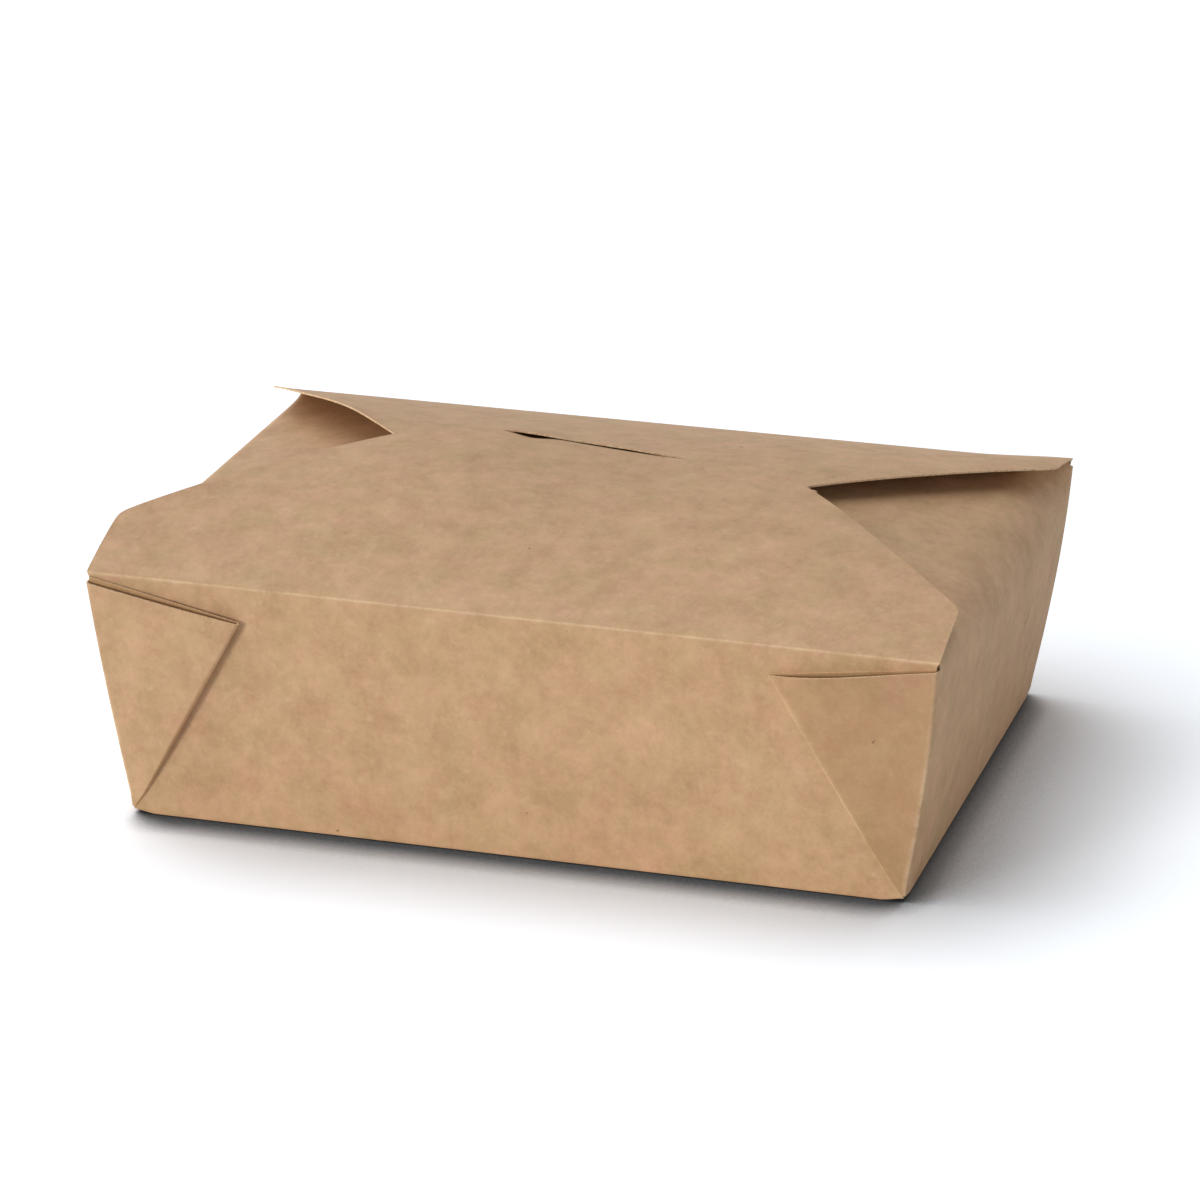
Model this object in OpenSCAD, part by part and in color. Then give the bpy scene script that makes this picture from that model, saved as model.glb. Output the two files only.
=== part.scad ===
// Fold-top takeout carton of kraft board, closed.
// One folded sheet makes the tray: base, walls, webbed corners, back flap and two side flaps.
// The front flap swings on its crease, and its tongue dips into a slit in the back flap.
// The origin is the middle of the base: X along the carton, -Y to the front crease, Z up.

/* [Tray] */
// Length of the base
base_l = 197; // [160:0.5:205]
// Width of the base
base_w = 140; // [115:0.5:146]
// Length across the side folds at the top
top_l = 213.5; // [205:0.5:250]
// Width across the long creases at the top
top_w = 152.5; // [146:0.5:180]
// Height of the walls up to the creases
wall_h = 63.5; // [40:0.5:110]
// Thickness of the board
board = 0.45; // [0.3:0.05:0.6]
// Radius of the folds round the base, at the middle of the board
base_fold_r = 1; // [0.6:0.1:2.5]

/* [Corner webs] */
// Distance along the wall from a corner to the tip of its web
web_in = 40; // [25:0.5:60]
// Drop of the web's cut edge below the crease, at the corner
web_corner_drop = 2; // [1.8:0.1:4]
// Drop of the web's tip below the crease
web_tip_drop = 7.4; // [4:0.1:15]
// Gap between the wall and the web's inner layer, at the top
web_stand = 0.4; // [0.2:0.1:0.8]
// Gap between the web's two layers, at the top
web_open = 0.5; // [0.2:0.1:0.8]

/* [Long flaps] */
// Rise of the closed roof from the creases to its middle
roof_rise = 14.8; // [11:0.2:20]
// Distance of a long flap's far edge past the middle of the carton
flap_past = 12.7; // [8:0.1:20]
// Width of the front flap's far edge
front_tip_w = 86; // [70:1:120]
// Width of the back flap's far edge
back_tip_w = 76; // [70:1:120]
// Length of the straight ear beside the front crease
front_ear = 24; // [12:0.5:34]
// Length of the straight ear beside the back crease
back_ear = 21; // [12:0.5:34]
// Radius of the bead along a long crease
crease_r = 0.35; // [0.32:0.01:0.5]
// Gap between the front wall's edge and the front flap's bead
crease_gap = 0.15; // [0.1:0.05:0.4]
// Gap between a flap and the flap that it lies on
layer_gap = 0.3; // [0.25:0.05:0.6]

/* [Tongue and slit] */
// Width of the front flap's tongue
tongue_w = 59; // [30:1:66]
// Depth of the tongue below the front flap
tongue_dip = 2.2; // [1.6:0.1:4]
// Inside radius of the tongue's bend
tongue_bend_r = 0.5; // [0.3:0.1:1]
// Gap between the tongue and the slit's front edge
slit_front_gap = 0.6; // [0.5:0.1:1]
// Gap between the tongue and the slit's back lip
slit_back_gap = 0.4; // [0.3:0.1:1]
// Gap between the tongue and each end of the slit
slit_end_gap = 1; // [0.5:0.1:2]

/* [Side flaps] */
// Reach of a side flap from its fold, in plan
side_reach = 54; // [35:0.5:60]
// Width of a side flap's far edge
side_tip_w = 72; // [40:1:90]
// Distance from a long crease to a side flap's edge, at the fold
side_root_in = 1.5; // [1.2:0.1:4]
// Radius of the soft fold from a side wall into its flap, at the middle of the board
side_fold_r = 4; // [2:0.5:8]

/* [Hidden] */

kraft = "#c69c6d";
kraft_flap = "#b98f62";

// Facets of the roof's arcs and of rolled edges, and steps in a bend
arch_fn = 720;
roll_fn = 32;
bend_steps = 8;
// Longer than any part of the carton
far = 4 * (top_l + wall_h);

// The middle of the board at the folds, from which all panels are laid out
base_x = base_l / 2 - board / 2;
base_y = base_w / 2 - board / 2;
base_z = board / 2;
crease_x = top_l / 2 - board / 2;
crease_y = top_w / 2 - board / 2;
crease_z = wall_h - board / 2;
long_wall_slope = norm([crease_y - base_y, crease_z - base_z]);
long_wall_lean = atan2(crease_y - base_y, crease_z - base_z);
side_wall_lean = atan2(crease_x - base_x, crease_z - base_z);
// Length of a side strip's leg that lies in the base
base_leg = 6;

// The web's layers meet at the foot of the corner and fan out towards the top
web_inner_tilt = atan((board + web_stand) / long_wall_slope);
web_outer_tilt = atan((2 * board + web_stand + web_open) / long_wall_slope);
web_corner_s = long_wall_slope - web_corner_drop;
web_corner_x = base_x + (crease_x - base_x) * web_corner_s / long_wall_slope;
web_tip_s = long_wall_slope - web_tip_drop;
web_tip_x = crease_x - web_in;
// Shares of the web's diagonal at which its rolled edge starts and ends
web_roll_start = 0.04;
web_roll_end = 0.985;
// The rolled edge stands a little proud of both layers
web_roll_swell = 1.2;

// The front flap lies on the back flap
back_rise = roof_rise - board - layer_gap;
tongue_y = flap_past + tongue_bend_r + board / 2;
tongue_sink = board / 8;
// Length of the tongue's root that lies in the flap
tongue_root = 2 * board;
slit_y0 = tongue_y - board / 2 - slit_front_gap;
slit_y1 = tongue_y + board / 2 + slit_back_gap;
slit_l = tongue_w + 2 * slit_end_gap;

// The side flaps rise until their far corners lie under the back flap
side_tip_x = crease_x - side_reach;
side_tip_z = roof_z(back_rise, side_tip_w / 2) - board - layer_gap;
side_root_y = crease_y - side_root_in;

// Radius and height of the middle line of a roof arc that joins the two long creases
function arch_r(rise) = (crease_y * crease_y + rise * rise) / (2 * rise);
function arch_centre_z(rise) = crease_z + rise - arch_r(rise);
function roof_z(rise, y) = arch_centre_z(rise) + sqrt(pow(arch_r(rise), 2) - y * y);

function unit(v) = v / norm(v);
function quarter_turn(v) = [-v[1], v[0]];
function turn(v, a) = [v[0] * cos(a) - v[1] * sin(a), v[0] * sin(a) + v[1] * cos(a)];
function flip(p) = [-p[0], p[1]];

// Points of the round bend that takes the place of corner b between a and c
function bend(a, b, c, r) =
  let (
    to_a = unit(a - b),
    to_c = unit(c - b),
    half = acos(to_a * to_c) / 2,
    centre = b + unit(to_a + to_c) * r / sin(half),
    first = b + to_a * r / tan(half) - centre,
    angle = sign(cross(b - a, c - b)) * (180 - 2 * half)
  )
  [for (i = [0:bend_steps]) centre + turn(first, angle * i / bend_steps)];

// The path moved sideways by d, mitred at each point
function beside(path, d) =
  let (last = len(path) - 1)
  [
    for (i = [0:last])
      let (
        before = unit(path[max(i, 1)] - path[max(i, 1) - 1]),
        after = unit(path[min(i + 1, last)] - path[min(i + 1, last) - 1]),
        across = quarter_turn(unit(before + after))
      )
      path[i] + across * d / (quarter_turn(before) * across)
  ];

// Plan of a long flap, from its crease at y = 0 to its far edge
function long_flap_plan(ear, tip_w) =
  let (reach = crease_y + flap_past)
  [
    [-top_l / 2, 0],
    [top_l / 2, 0],
    [top_l / 2, ear],
    [tip_w / 2, reach],
    [-tip_w / 2, reach],
    [-top_l / 2, ear]
  ];

// Section of the board along a path
module board_section(path) {
  left = beside(path, board / 2);
  right = beside(path, -board / 2);
  polygon(concat(left, [for (i = [len(right) - 1:-1:0]) right[i]]));
}

// A section drawn in Y and Z, carried along X
module along_x(length) {
  rotate([90, 0, 90])
    linear_extrude(length, center = true)
      children();
}

// A section drawn in X and Z, carried along Y
module along_y(length) {
  rotate([90, 0, 0])
    linear_extrude(length, center = true)
      children();
}

// The front wall's own frame: X along it, Y up its slope, Z out of it, leaning out by tilt more
module on_front_wall(tilt) {
  translate([0, -base_y, base_z])
    rotate([90 + long_wall_lean + tilt, 0, 0])
      children();
}

// Copies at the front and back, and at the left and right
module front_and_back() {
  for (side = [0, 1])
    mirror([0, side, 0])
      children();
}

module left_and_right() {
  for (side = [0, 1])
    mirror([side, 0, 0])
      children();
}

// All that lies outside the middle of the right wall
module beyond_right_wall() {
  translate([base_x, 0, base_z])
    rotate([0, side_wall_lean, 0])
      translate([0, -far / 2, -far / 2])
        cube(far);
}

// All that lies outside the front corner webs
module beyond_front_webs() {
  on_front_wall(web_outer_tilt)
    translate([-far / 2, -far / 2, board / 2])
      cube(far);
}

// Base, front wall and back wall in one strip, with an open edge at the front crease
module long_strip() {
  crease = [crease_y, crease_z];
  foot = [base_y, base_z];
  front_edge = flip(crease - unit(crease - foot) * (crease_r + crease_gap));
  path = concat(
    [front_edge],
    bend(flip(crease), flip(foot), foot, base_fold_r),
    bend(flip(foot), foot, crease, base_fold_r),
    [crease]
  );
  difference() {
    along_x(far)
      board_section(path);
    left_and_right()
      beyond_right_wall();
  }
}

// Plan of the right side flap, past its fold on the outside
module side_flap_plan() {
  polygon([
    [top_l, side_root_y],
    [crease_x, side_root_y],
    [side_tip_x, side_tip_w / 2],
    [side_tip_x, -side_tip_w / 2],
    [crease_x, -side_root_y],
    [top_l, -side_root_y]
  ]);
}

// Right wall with its soft fold and side flap, cut to the webs and to the flap's plan
module side_strip() {
  leg = [base_x - base_leg, base_z];
  foot = [base_x, base_z];
  fold = [crease_x, crease_z];
  tip = [side_tip_x, side_tip_z];
  path = concat([leg], bend(leg, foot, fold, base_fold_r), bend(foot, fold, tip, side_fold_r), [tip]);
  difference() {
    along_y(far)
      board_section(path);
    front_and_back()
      beyond_front_webs();
    translate([0, 0, crease_z - web_corner_drop])
      linear_extrude(far)
        difference() {
          square(far, center = true);
          side_flap_plan();
        }
  }
}

// One layer of the front right web, leaning out from the foot of the corner by tilt
module web_layer(tilt) {
  on_front_wall(tilt)
    linear_extrude(board, center = true)
      polygon([[base_x, 0], [web_corner_x, web_corner_s], [web_tip_x, web_tip_s]]);
}

// Lowest and highest face of the web's two layers at a share of its diagonal, off the wall's middle
function web_low(share) = share * web_tip_s * tan(web_inner_tilt) - board / 2;
function web_high(share) = share * web_tip_s * tan(web_outer_tilt) + board / 2;

// Point between the two layers at a share of the diagonal, in the front wall's frame
function web_fold(share) = [
  base_x + (web_tip_x - base_x) * share,
  web_tip_s * share,
  (web_low(share) + web_high(share)) / 2
];
function web_roll_r(share) = web_roll_swell * (web_high(share) - web_low(share)) / 2;

// The rolled edge along the web's diagonal, which joins its two layers
module web_roll() {
  start = web_fold(web_roll_start);
  reach = web_fold(web_roll_end) - start;
  start_r = web_roll_r(web_roll_start);
  end_r = web_roll_r(web_roll_end);
  on_front_wall(0)
    translate(start)
      rotate([0, acos(reach[2] / norm(reach)), atan2(reach[1], reach[0])])
        cylinder(r1 = start_r, r2 = end_r, h = norm(reach), $fn = roll_fn);
}

module corner_web() {
  web_layer(web_inner_tilt);
  web_layer(web_outer_tilt);
  web_roll();
}

// A sheet on the roof's arc, from the front crease to the back crease
module roof_sheet(rise) {
  along_x(2 * top_l)
    translate([0, arch_centre_z(rise)])
      difference() {
        circle(arch_r(rise) + board / 2, $fn = arch_fn);
        circle(arch_r(rise) - board / 2, $fn = arch_fn);
      }
}

// A long flap's panel on the roof's arc, laid from the front crease and cut to its plan
module long_flap_panel(rise, ear, tip_w) {
  intersection() {
    roof_sheet(rise);
    translate([0, -crease_y, 0])
      linear_extrude(far)
        polygon(long_flap_plan(ear, tip_w));
  }
}

// The bead pressed into the board along the front crease
module crease_bead() {
  translate([0, -crease_y, crease_z])
    rotate([0, 90, 0])
      cylinder(r = crease_r, h = top_l, center = true, $fn = roll_fn);
}

module back_flap() {
  difference() {
    mirror([0, 1, 0])
      long_flap_panel(back_rise, back_ear, back_tip_w);
    translate([-slit_l / 2, slit_y0, crease_z])
      cube([slit_l, slit_y1 - slit_y0, far]);
  }
  mirror([0, 1, 0])
    crease_bead();
}

// The tongue at the front flap's far edge, bent down through the slit
module tongue() {
  level = roof_z(roof_rise, flap_past) - tongue_sink;
  root = [flap_past - tongue_root, level];
  corner = [tongue_y, level];
  end = [tongue_y, level - tongue_dip];
  along_x(tongue_w)
    board_section(concat([root], bend(root, corner, end, tongue_bend_r + board / 2), [end]));
}

module carton() {
  color(kraft) {
    long_strip();
    left_and_right()
      side_strip();
    front_and_back()
      left_and_right()
        corner_web();
    back_flap();
  }
}

module front_flap() {
  color(kraft_flap) {
    long_flap_panel(roof_rise, front_ear, front_tip_w);
    crease_bead();
    tongue();
  }
}

carton();
front_flap();
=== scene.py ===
"""Looks of a closed fold-top takeout carton of kraft board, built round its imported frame.

The carton is one folded sheet. Each piece here is the middle surface of the board on a grid,
in millimetres, which is then given the board's thickness and put into a mesh in metres.
"""

from __future__ import annotations

import logging
import math
from collections.abc import Mapping, Sequence
from dataclasses import dataclass, field
from enum import Enum
from functools import cached_property
from typing import Any

import bpy
import numpy as np
from mathutils import Matrix, Vector

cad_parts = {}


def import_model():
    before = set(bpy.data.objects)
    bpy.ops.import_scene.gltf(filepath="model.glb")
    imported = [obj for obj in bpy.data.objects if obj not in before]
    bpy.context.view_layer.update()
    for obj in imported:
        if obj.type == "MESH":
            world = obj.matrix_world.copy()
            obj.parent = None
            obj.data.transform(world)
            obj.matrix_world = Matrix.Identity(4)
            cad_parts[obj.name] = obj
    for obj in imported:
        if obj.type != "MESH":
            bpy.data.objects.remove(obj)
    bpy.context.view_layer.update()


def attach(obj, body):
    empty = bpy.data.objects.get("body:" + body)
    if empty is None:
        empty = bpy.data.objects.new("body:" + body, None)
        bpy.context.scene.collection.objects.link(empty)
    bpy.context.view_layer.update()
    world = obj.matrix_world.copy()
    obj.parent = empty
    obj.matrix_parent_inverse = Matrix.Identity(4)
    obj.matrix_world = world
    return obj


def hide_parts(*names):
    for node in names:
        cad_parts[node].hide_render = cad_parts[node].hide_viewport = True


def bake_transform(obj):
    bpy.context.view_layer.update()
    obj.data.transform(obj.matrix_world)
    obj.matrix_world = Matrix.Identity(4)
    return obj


Array = np.ndarray
Pairs = tuple[tuple[float, float], ...]
Colour = tuple[float, float, float, float]

MM = 0.001
TINY = 1e-12
SAME_ROW = 0.01
SHARP_ANGLE = 55.0
# Attribute of rubbed wear on the folds; on the webs' rolls it also carries painted shade and a painted
# highlight
WEAR_AND_PAINTED_LIGHT = "fold_wear_and_painted_light"

# Heights that closing by hand adds to each long flap's arc, by place along the carton, in millimetres
FRONT_WARP: Pairs = (
    (-107, -0.3), (-93, 0.1), (-80, 0.5), (-65, 1.0), (-54, 1.45), (-40, 1.8),
    (-28, 1.65), (-17, 0.85), (-6, -0.1), (5, -0.9), (16, -1.5), (30, -1.65),
    (43, -1.65), (54, -1.75), (68, -2.4), (81, -3.4), (95, -4.1), (107, -5.4),
)
BACK_WARP: Pairs = (
    (-107, 1.5), (-93, 1.6), (-80, 2.4), (-72, 2.6), (-63, 2.1), (-54, 1.65), (-40, 1.75),
    (-28, 1.6), (-17, 0.85), (-6, -0.1), (5, -0.9), (16, -1.5), (30, -1.65),
    (43, -1.65), (54, -1.75), (67, -2.3), (80, -2.9), (95, -3.4), (107, -3.9),
)

log = logging.getLogger("carton")


class Body(Enum):
    """The bodies of the frame that pieces ride on."""

    CARTON = "carton"
    FRONT_FLAP = "front_flap"


class Layer(Enum):
    """What a face of a piece of board shows, as the number of its material."""

    FACE = 0
    INSIDE = 1
    CUT = 2


class Side(Enum):
    """The two ends of the carton, with the sign of X there."""

    LEFT = -1
    RIGHT = 1


def smooth_step(low: float, high: float, value: Array) -> Array:
    """Rises from 0 at low to 1 at high, as 3t^2 - 2t^3 of the share t between them.

    Args:
        low: Value at which the step starts.
        high: Value at which it ends, below low for a step that falls.
        value: Values to map.

    Returns:
        The step at each value.
    """
    share = np.clip((np.asarray(value, float) - low) / (high - low), 0.0, 1.0)
    return share * share * (3.0 - 2.0 * share)


def bell(value: Array, middle: float, width: float) -> Array:
    """Bell curve exp(-((value - middle) / width)^2), which is 1 at the middle."""
    return np.exp(-(((np.asarray(value, float) - middle) / width) ** 2))


def spans(stops: Sequence[float], counts: Sequence[int]) -> Array:
    """Even steps between one stop and the next, each stop once.

    Args:
        stops: Values that are met exactly, in order.
        counts: Number of steps in each span between two stops.

    Returns:
        All the values in order.
    """
    parts = [np.linspace(a, b, n, endpoint=False) for a, b, n in zip(stops, stops[1:], counts)]
    return np.concatenate([*parts, stops[-1:]])


def soft_ramp(value: Array, width: float) -> Array:
    """Ramp that is 0 below 0 and the value above, rounded over a width: w log(1 + exp(v / w))."""
    return width * np.logaddexp(0.0, np.asarray(value, float) / width)


def quadratic(start: Array, corner: Array, end: Array, share: Array) -> Array:
    """Round bend in place of a corner: (1-t)^2 start + 2t(1-t) corner + t^2 end.

    Args:
        start: Where the bend leaves the first panel.
        corner: The sharp corner that it rounds.
        end: Where the bend meets the second panel.
        share: The shares t along it, shaped to broadcast against the points.

    Returns:
        The points of the bend.
    """
    return (1 - share) ** 2 * start + 2 * share * (1 - share) * corner + share**2 * end


def smooth_through(value: Array, levels: Pairs) -> Array:
    """Smooth curve through given levels: a cubic between each two, with averaged slopes.

    On a span of length h with the share t along it, the level is (2t^3 - 3t^2 + 1) a +
    (t^3 - 2t^2 + t) h m + (3t^2 - 2t^3) b + (t^3 - t^2) h n, for levels a, b and slopes m, n.

    Args:
        value: Where the curve is wanted.
        levels: The places, rising, each with its level.

    Returns:
        The curve's level at each value, held at the ends.
    """
    xs, zs = np.array(levels, float).T
    slopes = np.gradient(zs, xs)
    inside = np.clip(np.asarray(value, float), xs[0], xs[-1])
    at = np.clip(np.searchsorted(xs, inside) - 1, 0, len(xs) - 2)
    span = xs[at + 1] - xs[at]
    t = (inside - xs[at]) / span
    start = (2 * t**3 - 3 * t**2 + 1) * zs[at] + (t**3 - 2 * t**2 + t) * span * slopes[at]
    return start + (3 * t**2 - 2 * t**3) * zs[at + 1] + (t**3 - t**2) * span * slopes[at + 1]


@dataclass(frozen=True)
class CartonSizes:
    """Sizes of the carton in millimetres, and how far a hand-folded one has settled.

    Attributes:
        board: Thickness of the board.
        base_l: Length of the base.
        base_w: Width of the base.
        top_l: Length across the side folds at the top.
        top_w: Width across the long creases at the top.
        wall_h: Height of the walls up to the creases.
        base_fold_r: Radius of the folds round the base.
        crease_reach: Distance from a long crease at which its bend starts and ends.
        roof_rise: Rise of the closed roof from the creases to its middle.
        layer_gap: Gap between a flap and the flap that it lies on.
        flap_past: Distance of a long flap's far edge past the middle of the carton.
        wall_tuck: Distance by which a long wall's ends lie inside the side walls.
        foot_out: How far the front foot is pushed out, at the middle.
        foot_turn: Change of that for each millimetre along X.
        crease_lift: How far the front crease is lifted, at the middle.
        crease_turn: Change of that for each millimetre along X.
        back_drop: How far the back crease has sunk.
        corner_lift: How far the back crease's right end is lifted.
        corner_from: Place along X at which that lift starts.
        corner_to: Place along X at which it is full.
        foot_round: How far the foot of each corner is lifted.
        foot_near: Distance inside a corner at which that lift starts.
        foot_past: Distance outside it at which it is full.
    """

    board: float = 0.45
    base_l: float = 197.0
    base_w: float = 140.0
    top_l: float = 213.5
    top_w: float = 152.5
    wall_h: float = 63.5
    base_fold_r: float = 1.0
    crease_reach: float = 0.7
    roof_rise: float = 14.8
    layer_gap: float = 0.3
    flap_past: float = 12.7
    wall_tuck: float = 0.25
    foot_out: float = 1.98
    foot_turn: float = -0.0043
    crease_lift: float = 0.85
    crease_turn: float = -0.0018
    back_drop: float = 0.3
    corner_lift: float = 1.1
    corner_from: float = 80.0
    corner_to: float = 107.0
    foot_round: float = 1.0
    foot_near: float = 6.0
    foot_past: float = 0.5

    @cached_property
    def base_x(self) -> float:
        """Half the base's length, at the middle of the board."""
        return (self.base_l - self.board) / 2

    @cached_property
    def base_y(self) -> float:
        """Half the base's width, at the middle of the board."""
        return (self.base_w - self.board) / 2

    @cached_property
    def base_z(self) -> float:
        """Height of the middle of the base's board."""
        return self.board / 2

    @cached_property
    def crease_x(self) -> float:
        """Half the length across the side folds, at the middle of the board."""
        return (self.top_l - self.board) / 2

    @cached_property
    def crease_y(self) -> float:
        """Half the width across the long creases, at the middle of the board."""
        return (self.top_w - self.board) / 2

    @cached_property
    def crease_z(self) -> float:
        """Height of the creases, at the middle of the board."""
        return self.wall_h - self.board / 2

    @cached_property
    def long_lean(self) -> float:
        """Angle by which the front and back walls lean out."""
        return math.atan2(self.crease_y - self.base_y, self.crease_z - self.base_z)

    @cached_property
    def side_lean(self) -> float:
        """Angle by which the side walls lean out."""
        return math.atan2(self.crease_x - self.base_x, self.crease_z - self.base_z)

    @cached_property
    def long_slope(self) -> float:
        """Length of the front wall up its slope."""
        return math.hypot(self.crease_y - self.base_y, self.crease_z - self.base_z)

    @cached_property
    def side_slope(self) -> float:
        """Length of a side wall up its slope."""
        return math.hypot(self.crease_x - self.base_x, self.crease_z - self.base_z)

    @cached_property
    def back_rise(self) -> float:
        """Rise of the back flap, which lies under the front flap."""
        return self.roof_rise - self.board - self.layer_gap

    def wall_half(self, slope: Array) -> Array:
        """Half the length of the front or back wall at a distance up its slope."""
        share = np.asarray(slope, float) / self.long_slope
        return self.base_x + (self.crease_x - self.base_x) * share - self.wall_tuck

    def settle(self, points: Array) -> Array:
        """Moves points of a true carton to where a hand-folded one has settled.

        The front foot is pushed out and the front crease is lifted, both more on the left. The
        back crease has sunk, its right end and the foot of each corner are lifted. Each move is
        its size times powers of the shares of the height and of the depth, so that it fades
        over the panels beside it.

        Args:
            points: Points with X, Y and Z in the last axis.

        Returns:
            The moved points.
        """
        x, y, z = np.moveaxis(points, -1, 0)
        height = np.clip(z / self.wall_h, 0, 1)
        to_foot = np.clip(-y / self.base_y, 0, 1)
        to_front = np.clip(-y / self.crease_y, 0, 1)
        to_back = np.clip(y / self.crease_y, 0, 1)
        out = (self.foot_out + self.foot_turn * x) * (1 - height) * to_foot**3
        front = (self.crease_lift + self.crease_turn * x) * height * to_front**3
        back = self.back_drop * height * to_back**3
        end = smooth_step(self.corner_from, self.corner_to, x) * height**3 * to_back**6
        near_x = smooth_step(-self.foot_near, self.foot_past, np.abs(x) - self.base_x)
        near_y = smooth_step(-self.foot_near, self.foot_past, np.abs(y) - self.base_y)
        foot = near_x * near_y * (1 - height) ** 8
        rise = front - back + self.corner_lift * end + self.foot_round * foot
        return np.stack([x, y - out, z + rise], axis=-1)

    def on_front_wall(self, along: Array, slope: Array, out: Array) -> Array:
        """Points in the front wall's own frame, turned into the carton's frame.

        A point is the foot plus slope times the wall's rising direction plus out times its
        outward normal, which leans down by the wall's lean.

        Args:
            along: Distances along X.
            slope: Distances up the wall from its foot.
            out: Distances out of the wall's middle.

        Returns:
            The points, with X, Y and Z in the last axis.
        """
        sine, cosine = math.sin(self.long_lean), math.cos(self.long_lean)
        y = -self.base_y - slope * sine - out * cosine
        z = self.base_z + slope * cosine - out * sine
        return np.stack(np.broadcast_arrays(along, y, z), axis=-1)


@dataclass(frozen=True)
class RoofLayer:
    """The curve that one long flap lies on, with the warp of a carton closed by hand.

    Attributes:
        sizes: Sizes of the carton.
        rise: Rise of the flap's arc above the creases.
        warp: Places along the carton, each with the height that the warp adds on the middle line.
    """

    sizes: CartonSizes
    rise: float
    warp: Pairs

    def fade(self, y: Array) -> Array:
        """Share of the warp at a place across the carton: 1 - (y / crease)^2, none at the creases."""
        return np.clip(1 - np.square(np.asarray(y, float) / self.sizes.crease_y), 0, 1)

    def height(self, x: Array, y: Array) -> Array:
        """Height of the flap's middle surface.

        The arc through both creases is the root of r^2 - y^2 above its centre, and the warp
        along X is added to it, fading to nothing at the creases.

        Args:
            x: Distances along the carton.
            y: Distances across it.

        Returns:
            The heights.
        """
        radius = (self.sizes.crease_y**2 + self.rise**2) / (2 * self.rise)
        arc = self.sizes.crease_z + self.rise - radius + np.sqrt(radius**2 - np.square(y))
        return arc + smooth_through(x, self.warp) * self.fade(y)


@dataclass
class BoardGrid:
    """Middle surface of a piece of board on a grid, in millimetres.

    Attributes:
        points: Points of the grid, shape (rows, columns, 3).
        cells: Which cells between the grid's lines are board.
        wear_and_painted_light: Wear at each point, from -1 for darkest to 1 for rubbed pale. On the webs'
            rolls the dark side is painted shade and the pale side is partly a painted highlight.
        flip: Whether columns crossed with rows point inwards.
    """

    points: Array
    cells: Array
    wear_and_painted_light: Array
    flip: bool = False

    def normals(self) -> Array:
        """Unit normals at the points, each the sum of the normals of the cells around it.

        Returns:
            The normals, or zeros at a point with no board around it.
        """
        p = self.points
        cell = np.cross(p[:-1, 1:] - p[1:, :-1], p[1:, 1:] - p[:-1, :-1])
        cell = np.where(self.cells[..., None], cell, 0.0)
        total = np.zeros_like(p)
        for row in (0, 1):
            for column in (0, 1):
                rows = slice(row, row + cell.shape[0])
                columns = slice(column, column + cell.shape[1])
                total[rows, columns] += cell
        length = np.linalg.norm(total, axis=-1, keepdims=True)
        return np.where(length > TINY, total / np.maximum(length, TINY), 0.0)

    def edge_cells(self) -> list[tuple[Array, Array]]:
        """Ends of every edge that has board on one side only, in the cells' own winding.

        Returns:
            Pairs of arrays of point numbers, from and to.
        """
        rows, columns = self.points.shape[:2]
        number = np.arange(rows * columns).reshape(rows, columns)
        held = np.pad(self.cells, 1)
        low = self.cells & ~held[:-2, 1:-1]
        high = self.cells & ~held[2:, 1:-1]
        left = self.cells & ~held[1:-1, :-2]
        right = self.cells & ~held[1:-1, 2:]
        return [
            (number[:-1, :-1][low], number[:-1, 1:][low]),
            (number[:-1, 1:][right], number[1:, 1:][right]),
            (number[1:, 1:][high], number[1:, :-1][high]),
            (number[1:, :-1][left], number[:-1, :-1][left]),
        ]

    def shell(self, board: float) -> tuple[Array, Array, Array, Array]:
        """The grid given the board's thickness: an outer face, an inner face and cut edges.

        Each face is the middle surface moved by half the board along its normals, and a strip
        of quads joins the two round every open edge.

        Args:
            board: Thickness of the board.

        Returns:
            Points, quads, the Layer number of each quad, and the wear and painted light at each point.
        """
        rows, columns = self.points.shape[:2]
        step = self.normals() * board / 2
        count = rows * columns
        points = np.concatenate([(self.points + step).reshape(-1, 3), (self.points - step).reshape(-1, 3)])
        number = np.arange(count).reshape(rows, columns)
        corners = (number[:-1, :-1], number[:-1, 1:], number[1:, 1:], number[1:, :-1])
        outer = np.stack([c[self.cells] for c in corners], axis=-1)
        ends = [np.concatenate(e) for e in zip(*self.edge_cells())]
        rim = np.stack([ends[0], ends[0] + count, ends[1] + count, ends[1]], axis=-1)
        quads = np.concatenate([outer, outer[:, ::-1] + count, rim])
        layers = [Layer.FACE.value, Layer.INSIDE.value]
        if self.flip:
            quads = quads[:, ::-1]
            layers.reverse()
        layer = np.repeat([*layers, Layer.CUT.value], [len(outer), len(outer), len(rim)])
        used, quads = np.unique(quads, return_inverse=True)
        return points[used], quads.reshape(-1, 4), layer, np.tile(self.wear_and_painted_light.ravel(), 2)[used]


def board_object(name: str, grid: BoardGrid, board: float) -> bpy.types.Object:
    """Makes a mesh object of a piece of board, with a material number on each face.

    Args:
        name: Name of the piece.
        grid: Its middle surface.
        board: Thickness of the board.

    Returns:
        The object, at the origin, not yet dressed.
    """
    points, quads, layer, wear_and_painted_light = grid.shell(board)
    mesh = bpy.data.meshes.new(name)
    mesh.from_pydata(points * MM, [], quads)
    mesh.polygons.foreach_set("material_index", layer.astype(np.int32))
    mesh.polygons.foreach_set("use_smooth", np.ones(len(quads), bool))
    fold_marks = mesh.attributes.new(WEAR_AND_PAINTED_LIGHT, "FLOAT", "POINT")
    fold_marks.data.foreach_set("value", wear_and_painted_light.astype(np.float32))
    mesh.set_sharp_from_angle(angle=math.radians(SHARP_ANGLE))
    mesh.update()
    piece = bpy.data.objects.new(name, mesh)
    bpy.context.scene.collection.objects.link(piece)
    log.info("%s: %d faces", name, len(quads))
    return piece


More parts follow.
